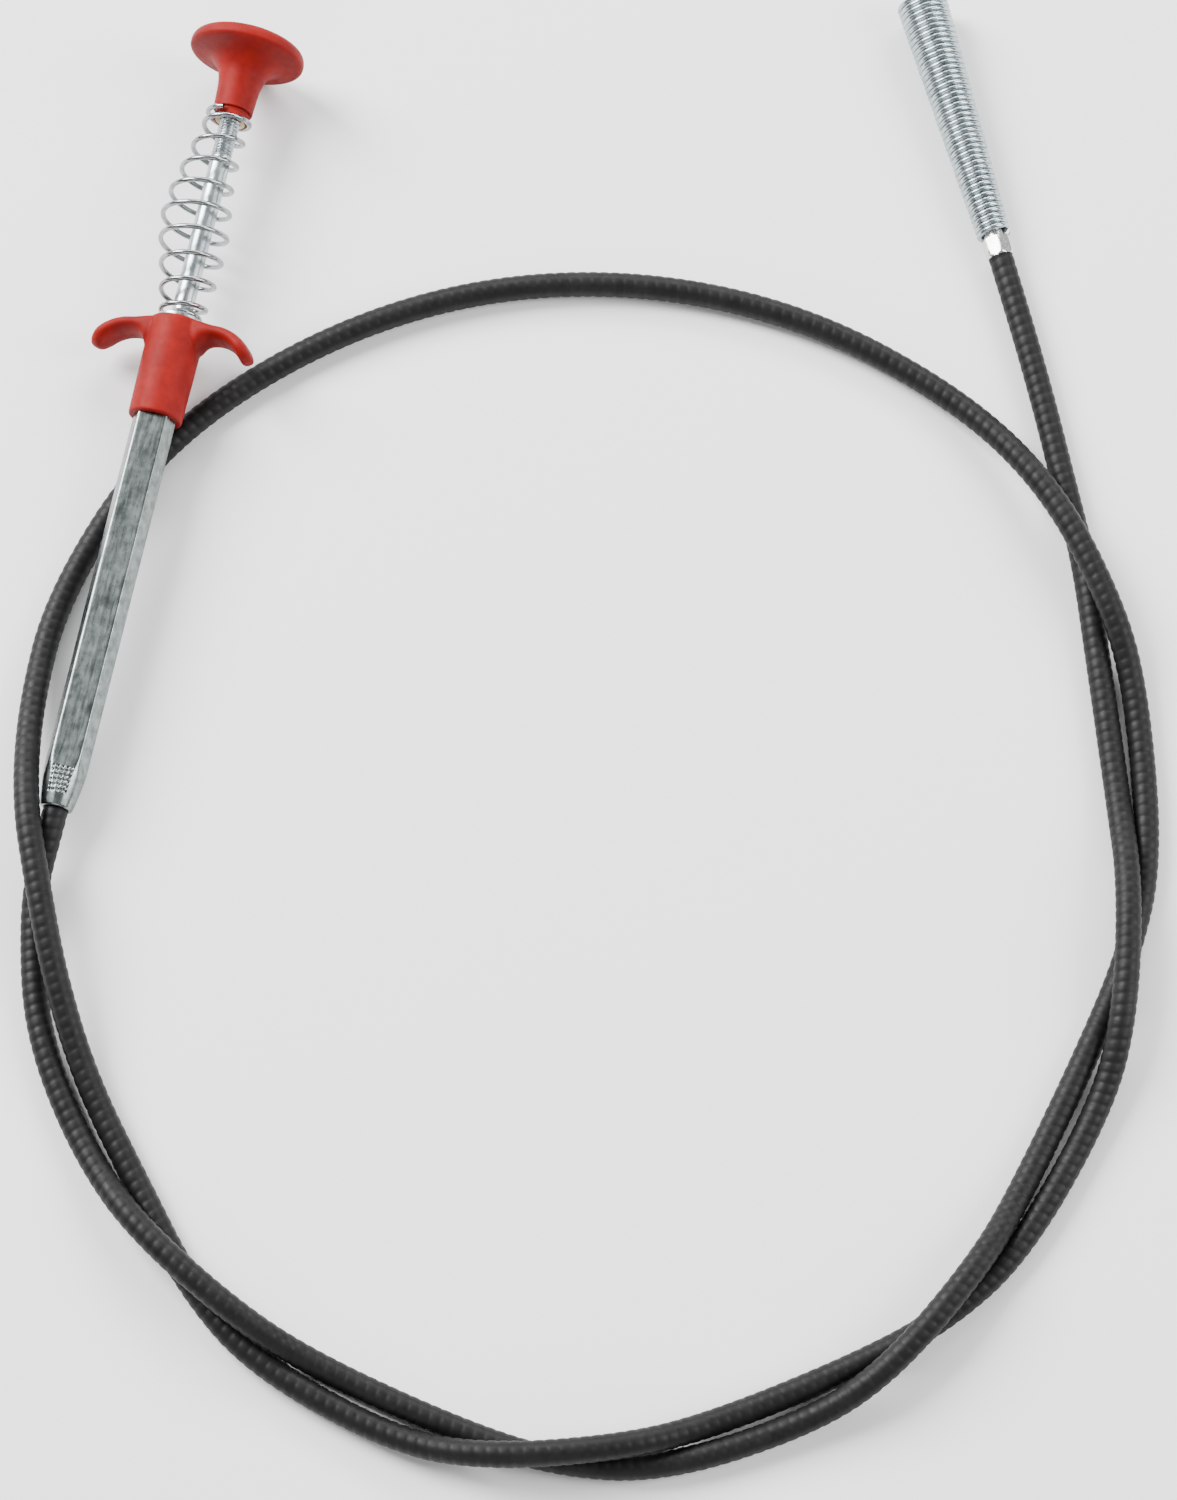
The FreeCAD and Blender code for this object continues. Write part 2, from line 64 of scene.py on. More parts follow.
# The cable's route, in metres, from inside the guide tube to inside the head's ferrule. It repeats
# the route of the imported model's own cable.
CABLE_ROUTE = (
    (0.0, -0.08842, 0.00918), (0.0, -0.10291, 0.00880), (-0.001, -0.117, 0.0043),
    (0.002, -0.1315, 0.003), (0.0063, -0.1455, 0.003), (0.014, -0.160, 0.003),
    (0.0264, -0.1762, 0.003), (0.0416, -0.1905, 0.0094), (0.0675, -0.2051, 0.0094),
    (0.087, -0.2115, 0.003), (0.1196, -0.2189, 0.003), (0.1432, -0.2217, 0.003),
    (0.1672, -0.2182, 0.003), (0.1977, -0.2006, 0.003), (0.2125, -0.186, 0.0094),
    (0.2268, -0.1598, 0.0094), (0.2334, -0.1403, 0.003), (0.2428, -0.104, 0.003),
    (0.2477, -0.0805, 0.003), (0.2486, -0.0566, 0.003), (0.2387, -0.0177, 0.003),
    (0.2289, 0.0008, 0.0094), (0.210, 0.0265, 0.0094), (0.1845, 0.0468, 0.003),
    (0.145, 0.0602, 0.003), (0.103, 0.061, 0.003), (0.063, 0.0498, 0.003),
    (0.028, 0.027, 0.003), (-0.0005, -0.0058, 0.003), (-0.0132, -0.0455, 0.003),
    (-0.0126, -0.0735, 0.0055), (-0.0072, -0.0985, 0.0125), (0.0008, -0.118, 0.0125),
    (0.0095, -0.138, 0.0095), (0.0215, -0.159, 0.004), (0.0392, -0.1806, 0.003),
    (0.0541, -0.1987, 0.003), (0.0731, -0.2136, 0.003), (0.1068, -0.224, 0.003),
    (0.1283, -0.2246, 0.0094), (0.1571, -0.2163, 0.0094), (0.175, -0.2066, 0.003),
    (0.2026, -0.1881, 0.003), (0.2207, -0.1734, 0.003), (0.2354, -0.1541, 0.003),
    (0.2478, -0.117, 0.003), (0.2488, -0.0955, 0.0094), (0.2447, -0.0661, 0.0094),
    (0.2394, -0.0459, 0.003), (0.2279, -0.0095, 0.003), (0.2207, 0.013, 0.003),
    (0.2126, 0.0315, 0.003), (0.204, 0.0515, 0.003), (0.19427, 0.07208, 0.00347),
    (0.18621, 0.08818, 0.00409),
)


class Body(Enum):
    """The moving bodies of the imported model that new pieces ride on."""

    HANDLE = "handle"
    PLUNGER = "plunger"


class Ends(Enum):
    """How the two ends of a run of rings are closed."""

    CAPPED = "capped"
    LOOPED = "looped"


# ---- working axes ----


@dataclass(frozen=True)
class WorkingAxis:
    """A straight axis that turned pieces share, with stations counted in millimetres from its foot.

    Attributes:
        foot: the axis's foot in the row frame, in metres.
        ahead: the axis's direction, of any length.
    """

    foot: Triple
    ahead: Triple

    def frame(self) -> np.ndarray:
        """The local x, y and z directions as rows, by the least turn that brings +Z onto ahead.

        Returns:
            A 3 by 3 array. With K the cross-product matrix of Z x ahead and c their cosine, the
            turn is I + K + K K / (1 + c).
        """
        direction = np.array(self.ahead) / np.linalg.norm(self.ahead)
        turn = np.cross((0.0, 0.0, 1.0), direction)
        skew = np.array([
            [0.0, -turn[2], turn[1]],
            [turn[2], 0.0, -turn[0]],
            [-turn[1], turn[0], 0.0],
        ])
        rotation = np.eye(3) + skew + skew @ skew / (1.0 + direction[2])
        return rotation.T

    def place(self, local: np.ndarray) -> np.ndarray:
        """Carries local (x, y, station) points into the row frame.

        Args:
            local: points in millimetres, with any leading shape.

        Returns:
            The same points in metres in the row frame.
        """
        return np.array(self.foot) + (local * MM) @ self.frame()

    def spot(self, station: float) -> Triple:
        """The point of the axis at a station, in metres."""
        return tuple(float(value) for value in self.place(np.array([0.0, 0.0, station])))


HANDLE_DIP = math.radians(1.5)
HANDLE = WorkingAxis(
    foot=(0.0, -0.0989161, 0.0089096),
    ahead=(0.0, math.cos(HANDLE_DIP), math.sin(HANDLE_DIP)),
)
HEAD = WorkingAxis(foot=(0.1880, 0.0846, 0.00395), ahead=(-0.0314, 0.0627, 0.0024))


# ---- surfaces worked out as arrays ----


def unit(vectors: np.ndarray) -> np.ndarray:
    """Vectors along the last axis, scaled to length one."""
    return vectors / np.linalg.norm(vectors, axis=-1, keepdims=True)


def turned_rings(radii: np.ndarray, stations: np.ndarray, angles: np.ndarray) -> np.ndarray:
    """Rings of a turned surface: x = r cos a, y = r sin a, z = station.

    Args:
        radii: one radius per ring, or one per ring and angle.
        stations: one station per ring.
        angles: the angles round the axis.

    Returns:
        An array of rings by angles by 3, in millimetres.
    """
    spread = radii if radii.ndim == 2 else np.repeat(radii[:, None], angles.size, axis=1)
    level = np.repeat(stations[:, None], angles.size, axis=1)
    return np.stack([spread * np.cos(angles), spread * np.sin(angles), level], axis=-1)


def carried_rings(path: np.ndarray, outward: np.ndarray, profile: np.ndarray) -> np.ndarray:
    """Rings of a profile carried along a path: point = path + p0 * first + p1 * second.

    The first direction is outward made square to the path's tangent, and the second is the cross
    product of the tangent and the first.

    Args:
        path: the centre line, count by 3.
        outward: a direction for each point of the path, not along its tangent.
        profile: the profile's two coordinates, either columns by 2 or count by columns by 2.

    Returns:
        An array of count by columns by 3.
    """
    tangent = unit(np.gradient(path, axis=0))
    along = np.sum(outward * tangent, axis=1, keepdims=True)
    first = unit(outward - along * tangent)
    second = np.cross(tangent, first)
    shape = profile if profile.ndim == 3 else np.repeat(profile[None], len(path), axis=0)
    return path[:, None] + shape[..., :1] * first[:, None] + shape[..., 1:] * second[:, None]


def around(count: int) -> np.ndarray:
    """Evenly spaced angles round a full turn, the last one short of the first."""
    return np.arange(count) * FULL_TURN / count


def circle(radius: float, count: int) -> np.ndarray:
    """A round profile as count by 2."""
    angles = around(count)
    return radius * np.stack([np.cos(angles), np.sin(angles)], axis=-1)


def travelled(points: np.ndarray) -> np.ndarray:
    """How far each point lies from the first along the line through them all."""
    gaps = np.linalg.norm(np.diff(points, axis=0), axis=1)
    return np.concatenate([[0.0], np.cumsum(gaps)])


def resampled(points: np.ndarray, marks: np.ndarray) -> np.ndarray:
    """Points of a line at the given distances along it."""
    length = travelled(points)
    return np.stack([np.interp(marks, length, column) for column in points.T], axis=-1)


def blended(values: np.ndarray, span: int) -> np.ndarray:
    """Evens out values by a moving mean over an odd span, with both ends held."""
    return np.convolve(np.pad(values, span // 2, mode="edge"), np.ones(span) / span, mode="valid")


def faceted_radius(
    faces: tuple[tuple[float, float], ...], angles: np.ndarray, sharpness: float,
) -> np.ndarray:
    """Radius of a many-sided outline with soft corners.

    One over the radius is the p-norm of cos(angle - face) / apothem over the faces that look that
    way, so that a high p keeps the flats flat and rounds only the corners.

    Args:
        faces: each face's direction in degrees and its distance from the axis.
        angles: the angles round the axis.
        sharpness: the power p.

    Returns:
        One radius per angle.
    """
    looks, apothems = np.radians([face[0] for face in faces]), np.array([face[1] for face in faces])
    cosines = np.clip(np.cos(angles[:, None] - looks), 0.0, None) / apothems
    return np.sum(cosines**sharpness, axis=1) ** (-1.0 / sharpness)


def rounded_outline(corners: list[Triple], steps: int = 6) -> np.ndarray:
    """An outline of (radius, station) whose corners are rounded by a quadratic curve.

    Args:
        corners: radius, station and how far the rounding starts from the corner.
        steps: points along each rounding.

    Returns:
        The outline's points, count by 2, with both ends kept sharp.
    """
    spots = np.array([corner[:2] for corner in corners])
    share = np.linspace(0.0, 1.0, steps)[:, None]
    rows = [spots[:1]]
    for index in range(1, len(corners) - 1):
        reach = corners[index][2]
        entry = spots[index] + unit(spots[index - 1] - spots[index]) * reach
        leave = spots[index] + unit(spots[index + 1] - spots[index]) * reach
        bend = (1 - share) ** 2 * entry + 2 * share * (1 - share) * spots[index] + share**2 * leave
        rows.append(bend)
    rows.append(spots[-1:])
    return np.concatenate(rows)


def divided(outline: np.ndarray, longest: float) -> np.ndarray:
    """Cuts an outline's long runs so that none is longer than a given length.

    Args:
        outline: the outline's points, count by 2.
        longest: the longest run allowed.

    Returns:
        The finer outline, count by 2.
    """
    length = travelled(outline)
    cuts = [np.linspace(low, high, max(2, math.ceil((high - low) / longest) + 1))[:-1]
            for low, high in zip(length, length[1:]) if high > low]
    return resampled(outline, np.concatenate(cuts + [length[-1:]]))


def placed(name: str, data: bpy.types.ID) -> Piece:
    """Makes an object of some data and links it into the scene."""
    thing = bpy.data.objects.new(name, data)
    bpy.context.scene.collection.objects.link(thing)
    return thing


def side_faces(rings: np.ndarray, looped: bool) -> tuple[np.ndarray, np.ndarray]:
    """The four-sided faces between rings, with a UV map of turns and centimetres.

    Args:
        rings: rings by columns by 3, in metres.
        looped: whether the last ring joins the first.

    Returns:
        The faces as point numbers, count by 4, and their UV corners, count by 4 by 2.
    """
    count, columns = rings.shape[:2]
    spans = count if looped else count - 1
    row, column = np.arange(spans)[:, None], np.arange(columns)[None, :]
    next_row, next_column = (row + 1) % count, (column + 1) % columns
    quads = np.stack([
        row * columns + column, row * columns + next_column,
        next_row * columns + next_column, next_row * columns + column,
    ], axis=-1).reshape(-1, 4)
    closed = np.concatenate([rings, rings[:1]]) if looped else rings
    run = travelled(closed[:, 0]) * CM_PER_METRE
    left, right, low, high = np.broadcast_arrays(
        column / columns, (column + 1) / columns, run[:spans, None], run[1:spans + 1, None],
    )
    uv = np.stack([left, low, right, low, right, high, left, high], axis=-1).reshape(-1, 4, 2)
    return quads, uv


def end_fans(rings: np.ndarray) -> tuple[np.ndarray, np.ndarray]:
    """The three-sided faces that close the two end rings round a point at each one's centre.

    Args:
        rings: rings by columns by 3.

    Returns:
        The faces as point numbers, count by 3, and the two centres, numbered after all the rings.
    """
    count, columns = rings.shape[:2]
    first = np.arange(columns)
    after = (first + 1) % columns
    last = (count - 1) * columns
    tip = count * columns
    fans = np.concatenate([
        np.stack([after, first, np.full(columns, tip)], axis=-1),
        np.stack([last + first, last + after, np.full(columns, tip + 1)], axis=-1),
    ])
    return fans, np.stack([rings[0].mean(axis=0), rings[-1].mean(axis=0)])


def sixfold_volume(points: np.ndarray, faces: np.ndarray) -> float:
    """Six times the volume from the origin to faces, above zero where they point outwards."""
    corners = points[faces]
    return sum(
        float(np.sum(corners[:, 0] * np.cross(corners[:, index], corners[:, index + 1])))
        for index in range(1, faces.shape[1] - 1)
    )


def skin(name: str, rings: np.ndarray, ends: Ends, sharp: float = 40.0) -> Piece:
    """Makes a closed mesh over rings of points, with a UV map of turns and centimetres.

    Args:
        name: the piece's name.
        rings: rings by columns by 3, in metres in the row frame.
        ends: capped by a fan to each end ring's centre, or looped back to the first ring.
        sharp: edges that bend by more than this many degrees are shaded sharp.

    Returns:
        The new object, at the origin, with its faces pointing outwards.
    """
    quads, uv = side_faces(rings, ends is Ends.LOOPED)
    points = rings.reshape(-1, 3)
    fans = np.zeros((0, 3), int)
    if ends is Ends.CAPPED:
        fans, centres = end_fans(rings)
        points = np.concatenate([points, centres])
    if sixfold_volume(points, quads) + sixfold_volume(points, fans) < 0:
        quads, uv, fans = quads[:, ::-1], uv[:, ::-1], fans[:, ::-1]
    fan_uv = np.tile((0.5, 0.0), (fans.size, 1))
    mesh = bpy.data.meshes.new(name)
    mesh.vertices.add(len(points))
    mesh.vertices.foreach_set("co", points.astype(np.float32).ravel())
    loops = np.concatenate([quads.ravel(), fans.ravel()]).astype(np.int32)
    mesh.loops.add(len(loops))
    mesh.loops.foreach_set("vertex_index", loops)
    starts = np.concatenate([
        np.arange(len(quads)) * 4, len(quads) * 4 + np.arange(len(fans)) * 3,
    ]).astype(np.int32)
    mesh.polygons.add(len(starts))
    mesh.polygons.foreach_set("loop_start", starts)
    mesh.polygons.foreach_set("use_smooth", np.ones(len(starts), bool))
    layer = mesh.uv_layers.new(name="surface")
    spread = np.concatenate([uv.reshape(-1), fan_uv.reshape(-1)]).astype(np.float32)
    layer.uv.foreach_set("vector", spread)
    mesh.update(calc_edges=True)
    mesh.validate()
    mesh.set_sharp_from_angle(angle=math.radians(sharp))
    return placed(name, mesh)


def settled(piece: Piece) -> Piece:
    """Applies a piece's modifiers to its mesh.

    Args:
        piece: an object with live modifiers.

    Returns:
        The same object, with the finished mesh and no modifiers.
    """
    bpy.context.view_layer.update()
    finished = piece.evaluated_get(bpy.context.evaluated_depsgraph_get())
    mesh = bpy.data.meshes.new_from_object(finished)
    piece.modifiers.clear()
    piece.data = mesh
    mesh.polygons.foreach_set("use_smooth", np.ones(len(mesh.polygons), bool))
    mesh.update()
    return piece


# ---- finishes ----


# The part of a noise's range that is used, for roughness and for the change between two colours.
NOISE_SPAN = (0.3, 0.7)
TINT_SPAN = (0.35, 0.65)
NOISE_ROUGHNESS = 0.6
# Bump strengths, and a plastic's patches and scuffs as a share of its moulded skin's frequency.
METAL_BUMP = 0.5
PLASTIC_BUMP = 0.35
PATCH_SHARE = 0.08
SCUFF_SHARE = 0.25


class Pattern(Enum):
    """What a finish's grain follows."""

    PLACE = "Object"
    SURFACE = "UV"


class Bench:
    """A material under construction: a shader with its grain, roughness and relief."""

    def __init__(self, name: str, pattern: Pattern, stretch: Triple) -> None:
        """Starts a material whose patterns read stretched coordinates.

        Args:
            name: the material's name.
            pattern: which coordinates the patterns follow.
            stretch: how much the coordinates are scaled along each axis.
        """
        self.material = bpy.data.materials.new(name)
        self.material.use_nodes = True
        self.tree = self.material.node_tree
        self.tree.nodes.clear()
        self.shader = self.tree.nodes.new("ShaderNodeBsdfPrincipled")
        output = self.tree.nodes.new("ShaderNodeOutputMaterial")
        self.link(self.shader.outputs["BSDF"], output.inputs["Surface"])
        source = self.tree.nodes.new("ShaderNodeTexCoord")
        mapping = self.tree.nodes.new("ShaderNodeMapping")
        mapping.inputs["Scale"].default_value = stretch
        self.link(source.outputs[pattern.value], mapping.inputs["Vector"])
        self.spot = mapping.outputs["Vector"]
        self.plain_spot = source.outputs[pattern.value]

    def link(self, source: Socket, target: Socket) -> None:
        """Joins two sockets."""
        self.tree.links.new(source, target)

    def cloud(self, scale: float, detail: float, plain: bool = False) -> Socket:
        """A noise value between 0 and 1.

        Args:
            scale: the noise's frequency per unit of its coordinates.
            detail: octaves of finer noise.
            plain: reads the coordinates unstretched.

        Returns:
            The noise's value socket.
        """
        noise = self.tree.nodes.new("ShaderNodeTexNoise")
        noise.inputs["Scale"].default_value = scale
        noise.inputs["Detail"].default_value = detail
        noise.inputs["Roughness"].default_value = NOISE_ROUGHNESS
        self.link(self.plain_spot if plain else self.spot, noise.inputs["Vector"])
        return noise.outputs["Fac"]

    def spread(self, value: Socket, low: float, high: float) -> Socket:
        """Maps a noise's usual span onto low to high.

        Args:
            value: the socket to map.
            low: the result at the span's lower end.
            high: the result at its upper end.

        Returns:
            The mapped value's socket.
        """
        mapped = self.tree.nodes.new("ShaderNodeMapRange")
        mapped.inputs["From Min"].default_value = NOISE_SPAN[0]
        mapped.inputs["From Max"].default_value = NOISE_SPAN[1]
        mapped.inputs["To Min"].default_value = low
        mapped.inputs["To Max"].default_value = high
        self.link(value, mapped.inputs["Value"])
        return mapped.outputs["Result"]

    def tint(self, value: Socket, dark: Triple, light: Triple) -> Socket:
        """A colour between dark and light, chosen by a value.

        Args:
            value: the socket that chooses.
            dark: the colour at the span's lower end.
            light: the colour at its upper end.

        Returns:
            The colour's socket.
        """
        ramp = self.tree.nodes.new("ShaderNodeValToRGB")
        ramp.color_ramp.elements[0].position = TINT_SPAN[0]
        ramp.color_ramp.elements[0].color = (*dark, 1.0)
        ramp.color_ramp.elements[1].position = TINT_SPAN[1]
        ramp.color_ramp.elements[1].color = (*light, 1.0)
        self.link(value, ramp.inputs["Fac"])
        return ramp.outputs["Color"]

    def relief(self, height: Socket, distance: float, strength: float) -> None:
        """Adds a bump to the shader's normal.

        Args:
            height: the socket that gives the height.
            distance: the height's size in metres.
            strength: the bump's strength.
        """
        bump = self.tree.nodes.new("ShaderNodeBump")
        bump.inputs["Distance"].default_value = distance
        bump.inputs["Strength"].default_value = strength
        self.link(height, bump.inputs["Height"])
        self.link(bump.outputs["Normal"], self.shader.inputs["Normal"])


@dataclass(frozen=True)
class MetalFinish:
    """A bare or plated metal: clouded colour, streaked roughness and a fine drawn grain.

    Attributes:
        name: the material's name.
        dark: the colour of dull patches.
        light: the colour of bright patches.
        smooth: the lowest roughness.
        rough: the highest roughness.
        clouds: the frequency of the patches.
        grain: the frequency of the drawn grain.
        stretch: how much the grain's coordinates are scaled along each axis.
        relief: the grain's height in metres.
        pattern: what the grain follows.
    """

    name: str
    dark: Triple
    light: Triple
    smooth: float
    rough: float
    clouds: float
    grain: float
    stretch: Triple = (1.0, 1.0, 1.0)
    relief: float = 0.00001
    pattern: Pattern = Pattern.PLACE

    @cache
    def material(self) -> bpy.types.Material:
        """Makes the material once and hands out the same one after that.

        Returns:
            The finish as a node material.
        """
        bench = Bench(self.name, self.pattern, self.stretch)
        bench.shader.inputs["Metallic"].default_value = 1.0
        patches = bench.cloud(self.clouds, 5.0, plain=True)
        bench.link(bench.tint(patches, self.dark, self.light), bench.shader.inputs["Base Color"])
        streaks = bench.cloud(self.grain, 3.0)
        bench.link(bench.spread(streaks, self.smooth, self.rough), bench.shader.inputs["Roughness"])
        bench.relief(streaks, self.relief, METAL_BUMP)
        return bench.material


@dataclass(frozen=True)
class PlasticFinish:
    """A moulded plastic: a slightly uneven colour, a soft gloss and a fine skin.

    Attributes:
        name: the material's name.
        dark: the colour where the plastic is thin or worn.
        light: the usual colour.
        smooth: the lowest roughness.
        rough: the highest roughness.
        skin: the frequency of the moulded skin.
        relief: the skin's height in metres.
        gloss: the strength of the mirror-like part of its shine.
        pattern: what the skin follows.
    """

    name: str
    dark: Triple
    light: Triple
    smooth: float
    rough: float
    skin: float
    relief: float = 0.00001
    gloss: float = 0.3
    pattern: Pattern = Pattern.PLACE

    @cache
    def material(self) -> bpy.types.Material:
        """Makes the material once and hands out the same one after that.

        Returns:
            The finish as a node material.
        """
        bench = Bench(self.name, self.pattern, (1.0, 1.0, 1.0))
        bench.shader.inputs["Specular IOR Level"].default_value = self.gloss
        patches = bench.cloud(self.skin * PATCH_SHARE, 4.0)
        bench.link(bench.tint(patches, self.dark, self.light), bench.shader.inputs["Base Color"])
        scuffs = bench.cloud(self.skin * SCUFF_SHARE, 6.0)
        bench.link(bench.spread(scuffs, self.smooth, self.rough), bench.shader.inputs["Roughness"])
        bench.relief(bench.cloud(self.skin, 2.0), self.relief, PLASTIC_BUMP)
        return bench.material


ZINC_TUBE = MetalFinish(
    "plated_zinc", (0.115, 0.137, 0.134), (0.24, 0.273, 0.265), 0.2, 0.34, 420.0, 1100.0,
    (1.0, 0.12, 1.0), 0.000006,
)
BRIGHT_STEEL = MetalFinish(
    "drawn_steel", (0.34, 0.38, 0.40), (0.56, 0.60, 0.62), 0.24, 0.36, 300.0, 1500.0,
    (1.0, 0.15, 1.0),
)
SPRING_NICKEL = MetalFinish(
    "nickel_spring_wire", (0.20, 0.22, 0.23), (0.38, 0.40, 0.40), 0.14, 0.26, 4.0, 60.0,
    (1.0, 0.25, 1.0), 0.000006, Pattern.SURFACE,
)
COIL_NICKEL = MetalFinish(
    "nickel_coil_wire", (0.28, 0.33, 0.35), (0.50, 0.56, 0.58), 0.16, 0.3, 3.0, 50.0,
    (1.0, 0.2, 1.0), 0.000006, Pattern.SURFACE,
)
FERRULE_NICKEL = MetalFinish(
    "bright_nickel", (0.66, 0.66, 0.64), (0.90, 0.89, 0.86), 0.2, 0.36, 400.0, 1800.0,
)
CLAW_STEEL = MetalFinish(
    "flat_claw_steel", (0.27, 0.265, 0.255), (0.50, 0.49, 0.465), 0.16, 0.32, 500.0, 2200.0,
)
WIRE_STEEL = MetalFinish(
    "pull_wire_steel", (0.36, 0.36, 0.36), (0.62, 0.62, 0.61), 0.22, 0.4, 500.0, 2400.0,
)
BRASS = MetalFinish(
    "turned_brass", (0.26, 0.20, 0.11), (0.44, 0.35, 0.20), 0.2, 0.35, 400.0, 1800.0,
)
ALUMINIUM = MetalFinish(
    "soft_aluminium", (0.60, 0.61, 0.62), (0.80, 0.81, 0.82), 0.28, 0.45, 500.0, 2000.0,
)
RED_PLASTIC = PlasticFinish(
    "moulded_red", (0.17, 0.004, 0.003), (0.235, 0.006, 0.004), 0.5, 0.64, 2600.0, 0.00002, 0.14,
)
DARK_PLASTIC = PlasticFinish(
    "moulded_dark", (0.01, 0.01, 0.011), (0.02, 0.02, 0.022), 0.45, 0.6, 2600.0, 0.00001, 0.4,
)
BLACK_JACKET = PlasticFinish(
    "ribbed_black", (0.004, 0.004, 0.0043), (0.008, 0.008, 0.0085), 0.42, 0.58, 22.0, 0.00003, 0.2,
    pattern=Pattern.SURFACE,
)


def dress(piece: Piece, material: bpy.types.Material) -> None:
    """Gives a piece one material in place of those it has."""
    piece.data.materials.clear()
    piece.data.materials.append(material)


# ---- cable ----


@dataclass(frozen=True)
class Cable:
    """The ribbed flexible sheath that lies in a loop and a half on the floor.

    Attributes:
        radius: over the ribs, in millimetres.
        bore: radius of the hole that the plunger's wire enters.
        bore_depth: how far that hole is modelled into the sheath.
        groove: depth of the groove between two ribs.
        groove_width: how far from its middle a groove has mostly faded.
        rib_pitch: from one rib to the next along the cable.
        rings_per_rib: rings of points to each rib.
        columns: points round the cable.
    """

    radius: float = 3.02
    bore: float = 1.3
    bore_depth: float = 7.0
    groove: float = 0.16
    groove_width: float = 0.42
    rib_pitch: float = 2.6
    rings_per_rib: int = 6
    columns: int = 20

    def centre_line(self) -> np.ndarray:
        """Reads points along the route's own smooth spline.

        Returns:
            The points in metres, count by 3.
        """
        curve = bpy.data.curves.new("cable_route", "CURVE")
        curve.dimensions = "3D"
        curve.resolution_u = 40
        spline = curve.splines.new("NURBS")
        spline.points.add(len(CABLE_ROUTE) - 1)
        weighted = np.column_stack([np.array(CABLE_ROUTE), np.ones(len(CABLE_ROUTE))])
        spline.points.foreach_set("co", weighted.ravel())
        spline.order_u = 3
        spline.use_endpoint_u = True
        holder = placed("cable_route", curve)
        bpy.context.view_layer.update()
        line = bpy.data.meshes.new_from_object(holder)
        points = np.empty(len(line.vertices) * 3)
        line.vertices.foreach_get("co", points)
        bpy.data.meshes.remove(line)
        bpy.data.objects.remove(holder)
        return points.reshape(-1, 3)

    def rings(self, line: np.ndarray) -> np.ndarray:
        """Rings of the ribbed sheath, after those of the short bore at its start.

        The sheath's radius is R - g exp(-(d / w)^2), where d is the distance from the nearest
        groove and the grooves run round the cable as one long screw line. The bore's rings come
        first, from its floor out to the sheath's end.

        Args:
            line: points along the centre line, in metres.

        Returns:
            Rings by columns by 3, in metres.
        """
        length = travelled(line)[-1]
        step = self.rib_pitch * MM / self.rings_per_rib
        marks = np.linspace(0.0, length, round(length / step))
        path = resampled(line, marks)
        angles = around(self.columns)
        turns = marks[:, None] / (self.rib_pitch * MM) - angles / FULL_TURN
        away = np.abs(turns - np.round(turns)) * self.rib_pitch
        radii = (self.radius - self.groove * np.exp(-(away / self.groove_width) ** 2)) * MM
        profile = np.stack([radii * np.cos(angles), radii * np.sin(angles)], axis=-1)
        upward = np.tile((0.0, 0.0, 1.0), (len(path), 1))
        outer = carried_rings(path, upward, profile)
        middle = path[:, None]
        narrow = unit(outer - middle) * self.bore * MM + middle
        deepest = round(self.bore_depth * MM / step)
        return np.concatenate([narrow[deepest:0:-2], narrow[:1], outer])

    def make(self) -> tuple[Piece, np.ndarray]:
        """Makes the sheath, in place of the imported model's jacket, liner and core.

        Returns:
            The piece and the points of its centre line.
        """
        line = self.centre_line()
        piece = skin("cable_sheath", self.rings(line), Ends.CAPPED, sharp=80.0)
        dress(piece, BLACK_JACKET.material())
        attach(piece, Body.HANDLE.value)
        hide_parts("cable_jacket", "cable_liner", "core_wire")
        return piece, line


# ---- claw head ----


